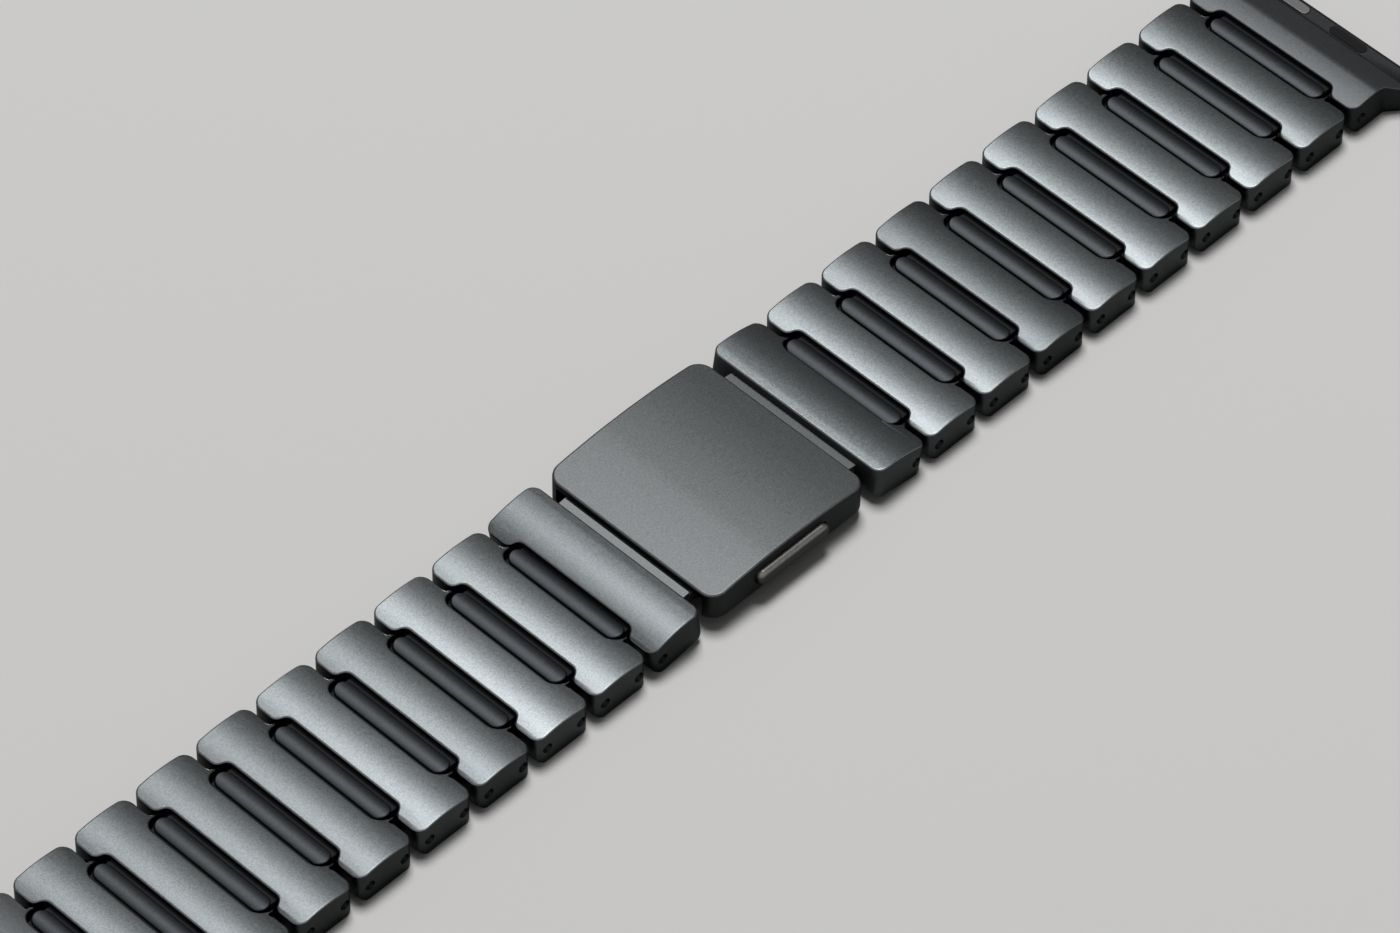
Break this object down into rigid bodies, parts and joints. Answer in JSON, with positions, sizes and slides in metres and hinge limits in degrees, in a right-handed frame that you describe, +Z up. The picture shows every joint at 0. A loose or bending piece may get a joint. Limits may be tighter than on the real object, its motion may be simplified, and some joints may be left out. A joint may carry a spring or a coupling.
{
  "type": "watch bracelet",
  "caption": "Metal link watch bracelet with narrow pill-shaped bars between the links, a folding clasp with side push buttons and slide-in lugs.",
  "frame": {"origin": "on the ground, in the middle of the bracelet's bounding box, under the clasp", "axes": "+X along the band, +Y across it, +Z up, out of the outer side"},
  "size_m": [0.1746, 0.0244, 0.0049],
  "materials": {
    "titanium": "bead-blasted dark titanium, matt",
    "pill": "bead-blasted titanium, darker",
    "blade": "finely brushed titanium",
    "steel": "plain steel",
    "pad": "matt black"
  },
  "bodies": {
    "clasp_cover": {"clasp_cover": "titanium", "cover_hinge_pin": "steel", "band_pin_left": "steel", "button_spring_near": "steel", "button_spring_far": "steel"},
    "clasp_blade_upper": {"clasp_blade_upper": "blade"},
    "clasp_blade_lower": {"clasp_blade_lower": "blade", "blade_hinge_pin": "steel", "band_pin_right": "steel"},
    "push_button_near": {"push_button_near": "titanium"},
    "push_button_far": {"push_button_far": "titanium"},
    "link_r1": {"link_r1": "titanium"},
    "connector_r1": {"connector_r1": "pill"},
    "link_r2": {"link_r2": "titanium"},
    "connector_r2": {"connector_r2": "pill"},
    "link_r3": {"link_r3": "titanium"},
    "connector_r3": {"connector_r3": "pill"},
    "link_r4": {"link_r4": "titanium"},
    "connector_r4": {"connector_r4": "pill"},
    "link_r5": {"link_r5": "titanium"},
    "connector_r5": {"connector_r5": "pill"},
    "link_r6": {"link_r6": "titanium"},
    "connector_r6": {"connector_r6": "pill"},
    "link_r7": {"link_r7": "titanium"},
    "connector_r7": {"connector_r7": "pill"},
    "link_r8": {"link_r8": "titanium"},
    "connector_r8": {"connector_r8": "pill"},
    "link_r9": {"link_r9": "titanium"},
    "connector_r9": {"connector_r9": "pill"},
    "end_link_right": {"end_link_right": "titanium", "friction_pad_right": "pad", "latch_spring_right": "steel"},
    "lug_latch_right": {"lug_latch_right": "steel"},
    "link_l1": {"link_l1": "titanium"},
    "connector_l1": {"connector_l1": "pill"},
    "link_l2": {"link_l2": "titanium"},
    "connector_l2": {"connector_l2": "pill"},
    "link_l3": {"link_l3": "titanium"},
    "connector_l3": {"connector_l3": "pill"},
    "link_l4": {"link_l4": "titanium"},
    "connector_l4": {"connector_l4": "pill"},
    "link_l5": {"link_l5": "titanium"},
    "connector_l5": {"connector_l5": "pill"},
    "link_l6": {"link_l6": "titanium"},
    "connector_l6": {"connector_l6": "pill"},
    "link_l7": {"link_l7": "titanium"},
    "connector_l7": {"connector_l7": "pill"},
    "link_l8": {"link_l8": "titanium"},
    "connector_l8": {"connector_l8": "pill"},
    "link_l9": {"link_l9": "titanium"},
    "connector_l9": {"connector_l9": "pill"},
    "end_link_left": {"end_link_left": "titanium", "friction_pad_left": "pad", "latch_spring_left": "steel"},
    "lug_latch_left": {"lug_latch_left": "steel"}
  },
  "joints": [
    {"name": "clasp_fold", "type": "hinge", "parent": "clasp_cover", "child": "clasp_blade_upper", "pos_m": [0.0062, 0, 0.0022], "axis": [0, 1, 0], "range_deg": [-150, 0]},
    {"name": "blade_fold", "type": "hinge", "parent": "clasp_blade_upper", "child": "clasp_blade_lower", "pos_m": [-0.0065, 0, 0.00095], "axis": [0, 1, 0], "range_deg": [0, 150]},
    {"name": "push_near", "type": "slide", "parent": "clasp_cover", "child": "push_button_near", "axis": [0, 1, 0], "range_m": [0, 0.0005], "stiffness_N_per_m": 400, "springref_m": -0.001, "deforming": ["button_spring_near"]},
    {"name": "push_far", "type": "slide", "parent": "clasp_cover", "child": "push_button_far", "axis": [0, -1, 0], "range_m": [0, 0.0005], "stiffness_N_per_m": 400, "springref_m": -0.001, "deforming": ["button_spring_far"]},
    {"name": "hinge_r1_in", "type": "hinge", "parent": "clasp_blade_lower", "child": "link_r1", "pos_m": [0.00905, 0, 0.00266], "axis": [0, 1, 0], "range_deg": [-3, 9.5]},
    {"name": "hinge_r1_out", "type": "hinge", "parent": "link_r1", "child": "connector_r1", "pos_m": [0.01685, 0, 0.00175], "axis": [0, 1, 0], "range_deg": [-3, 9.5]},
    {"name": "hinge_r2_in", "type": "hinge", "parent": "connector_r1", "child": "link_r2", "pos_m": [0.02, 0, 0.00175], "axis": [0, 1, 0], "range_deg": [-3, 9.5]},
    {"name": "hinge_r2_out", "type": "hinge", "parent": "link_r2", "child": "connector_r2", "pos_m": [0.0243, 0, 0.00175], "axis": [0, 1, 0], "range_deg": [-3, 9.5]},
    {"name": "hinge_r3_in", "type": "hinge", "parent": "connector_r2", "child": "link_r3", "pos_m": [0.02745, 0, 0.00175], "axis": [0, 1, 0], "range_deg": [-3, 9.5]},
    {"name": "hinge_r3_out", "type": "hinge", "parent": "link_r3", "child": "connector_r3", "pos_m": [0.03175, 0, 0.00175], "axis": [0, 1, 0], "range_deg": [-3, 9.5]},
    {"name": "hinge_r4_in", "type": "hinge", "parent": "connector_r3", "child": "link_r4", "pos_m": [0.0349, 0, 0.00175], "axis": [0, 1, 0], "range_deg": [-3, 9.5]},
    {"name": "hinge_r4_out", "type": "hinge", "parent": "link_r4", "child": "connector_r4", "pos_m": [0.0392, 0, 0.00175], "axis": [0, 1, 0], "range_deg": [-3, 9.5]},
    {"name": "hinge_r5_in", "type": "hinge", "parent": "connector_r4", "child": "link_r5", "pos_m": [0.04235, 0, 0.00175], "axis": [0, 1, 0], "range_deg": [-3, 9.5]},
    {"name": "hinge_r5_out", "type": "hinge", "parent": "link_r5", "child": "connector_r5", "pos_m": [0.04665, 0, 0.00175], "axis": [0, 1, 0], "range_deg": [-3, 9.5]},
    {"name": "hinge_r6_in", "type": "hinge", "parent": "connector_r5", "child": "link_r6", "pos_m": [0.0498, 0, 0.00175], "axis": [0, 1, 0], "range_deg": [-3, 9.5]},
    {"name": "hinge_r6_out", "type": "hinge", "parent": "link_r6", "child": "connector_r6", "pos_m": [0.0541, 0, 0.00175], "axis": [0, 1, 0], "range_deg": [-3, 9.5]},
    {"name": "hinge_r7_in", "type": "hinge", "parent": "connector_r6", "child": "link_r7", "pos_m": [0.05725, 0, 0.00175], "axis": [0, 1, 0], "range_deg": [-3, 9.5]},
    {"name": "hinge_r7_out", "type": "hinge", "parent": "link_r7", "child": "connector_r7", "pos_m": [0.06155, 0, 0.00175], "axis": [0, 1, 0], "range_deg": [-3, 9.5]},
    {"name": "hinge_r8_in", "type": "hinge", "parent": "connector_r7", "child": "link_r8", "pos_m": [0.0647, 0, 0.00175], "axis": [0, 1, 0], "range_deg": [-3, 9.5]},
    {"name": "hinge_r8_out", "type": "hinge", "parent": "link_r8", "child": "connector_r8", "pos_m": [0.069, 0, 0.00175], "axis": [0, 1, 0], "range_deg": [-3, 9.5]},
    {"name": "hinge_r9_in", "type": "hinge", "parent": "connector_r8", "child": "link_r9", "pos_m": [0.07215, 0, 0.00175], "axis": [0, 1, 0], "range_deg": [-3, 9.5]},
    {"name": "hinge_r9_out", "type": "hinge", "parent": "link_r9", "child": "connector_r9", "pos_m": [0.07645, 0, 0.00175], "axis": [0, 1, 0], "range_deg": [-3, 9.5]},
    {"name": "hinge_end_right", "type": "hinge", "parent": "connector_r9", "child": "end_link_right", "pos_m": [0.0796, 0, 0.00175], "axis": [0, 1, 0], "range_deg": [-3, 9.5]},
    {"name": "latch_right", "type": "slide", "parent": "end_link_right", "child": "lug_latch_right", "axis": [0, 0, -1], "range_m": [0, 0.0004], "stiffness_N_per_m": 300, "springref_m": -0.0005, "deforming": ["latch_spring_right"]},
    {"name": "hinge_l1_in", "type": "hinge", "parent": "clasp_cover", "child": "link_l1", "pos_m": [-0.00905, 0, 0.00266], "axis": [0, -1, 0], "range_deg": [-3, 9.5]},
    {"name": "hinge_l1_out", "type": "hinge", "parent": "link_l1", "child": "connector_l1", "pos_m": [-0.01685, 0, 0.00175], "axis": [0, -1, 0], "range_deg": [-3, 9.5]},
    {"name": "hinge_l2_in", "type": "hinge", "parent": "connector_l1", "child": "link_l2", "pos_m": [-0.02, 0, 0.00175], "axis": [0, -1, 0], "range_deg": [-3, 9.5]},
    {"name": "hinge_l2_out", "type": "hinge", "parent": "link_l2", "child": "connector_l2", "pos_m": [-0.0243, 0, 0.00175], "axis": [0, -1, 0], "range_deg": [-3, 9.5]},
    {"name": "hinge_l3_in", "type": "hinge", "parent": "connector_l2", "child": "link_l3", "pos_m": [-0.02745, 0, 0.00175], "axis": [0, -1, 0], "range_deg": [-3, 9.5]},
    {"name": "hinge_l3_out", "type": "hinge", "parent": "link_l3", "child": "connector_l3", "pos_m": [-0.03175, 0, 0.00175], "axis": [0, -1, 0], "range_deg": [-3, 9.5]},
    {"name": "hinge_l4_in", "type": "hinge", "parent": "connector_l3", "child": "link_l4", "pos_m": [-0.0349, 0, 0.00175], "axis": [0, -1, 0], "range_deg": [-3, 9.5]},
    {"name": "hinge_l4_out", "type": "hinge", "parent": "link_l4", "child": "connector_l4", "pos_m": [-0.0392, 0, 0.00175], "axis": [0, -1, 0], "range_deg": [-3, 9.5]},
    {"name": "hinge_l5_in", "type": "hinge", "parent": "connector_l4", "child": "link_l5", "pos_m": [-0.04235, 0, 0.00175], "axis": [0, -1, 0], "range_deg": [-3, 9.5]},
    {"name": "hinge_l5_out", "type": "hinge", "parent": "link_l5", "child": "connector_l5", "pos_m": [-0.04665, 0, 0.00175], "axis": [0, -1, 0], "range_deg": [-3, 9.5]},
    {"name": "hinge_l6_in", "type": "hinge", "parent": "connector_l5", "child": "link_l6", "pos_m": [-0.0498, 0, 0.00175], "axis": [0, -1, 0], "range_deg": [-3, 9.5]},
    {"name": "hinge_l6_out", "type": "hinge", "parent": "link_l6", "child": "connector_l6", "pos_m": [-0.0541, 0, 0.00175], "axis": [0, -1, 0], "range_deg": [-3, 9.5]},
    {"name": "hinge_l7_in", "type": "hinge", "parent": "connector_l6", "child": "link_l7", "pos_m": [-0.05725, 0, 0.00175], "axis": [0, -1, 0], "range_deg": [-3, 9.5]},
    {"name": "hinge_l7_out", "type": "hinge", "parent": "link_l7", "child": "connector_l7", "pos_m": [-0.06155, 0, 0.00175], "axis": [0, -1, 0], "range_deg": [-3, 9.5]},
    {"name": "hinge_l8_in", "type": "hinge", "parent": "connector_l7", "child": "link_l8", "pos_m": [-0.0647, 0, 0.00175], "axis": [0, -1, 0], "range_deg": [-3, 9.5]},
    {"name": "hinge_l8_out", "type": "hinge", "parent": "link_l8", "child": "connector_l8", "pos_m": [-0.069, 0, 0.00175], "axis": [0, -1, 0], "range_deg": [-3, 9.5]},
    {"name": "hinge_l9_in", "type": "hinge", "parent": "connector_l8", "child": "link_l9", "pos_m": [-0.07215, 0, 0.00175], "axis": [0, -1, 0], "range_deg": [-3, 9.5]},
    {"name": "hinge_l9_out", "type": "hinge", "parent": "link_l9", "child": "connector_l9", "pos_m": [-0.07645, 0, 0.00175], "axis": [0, -1, 0], "range_deg": [-3, 9.5]},
    {"name": "hinge_end_left", "type": "hinge", "parent": "connector_l9", "child": "end_link_left", "pos_m": [-0.0796, 0, 0.00175], "axis": [0, -1, 0], "range_deg": [-3, 9.5]},
    {"name": "latch_left", "type": "slide", "parent": "end_link_left", "child": "lug_latch_left", "axis": [0, 0, -1], "range_m": [0, 0.0004], "stiffness_N_per_m": 300, "springref_m": -0.0005, "deforming": ["latch_spring_left"]}
  ],
  "couplings": [
    {"joint": "blade_fold", "follows": "clasp_fold", "ratio": -1}
  ]
}
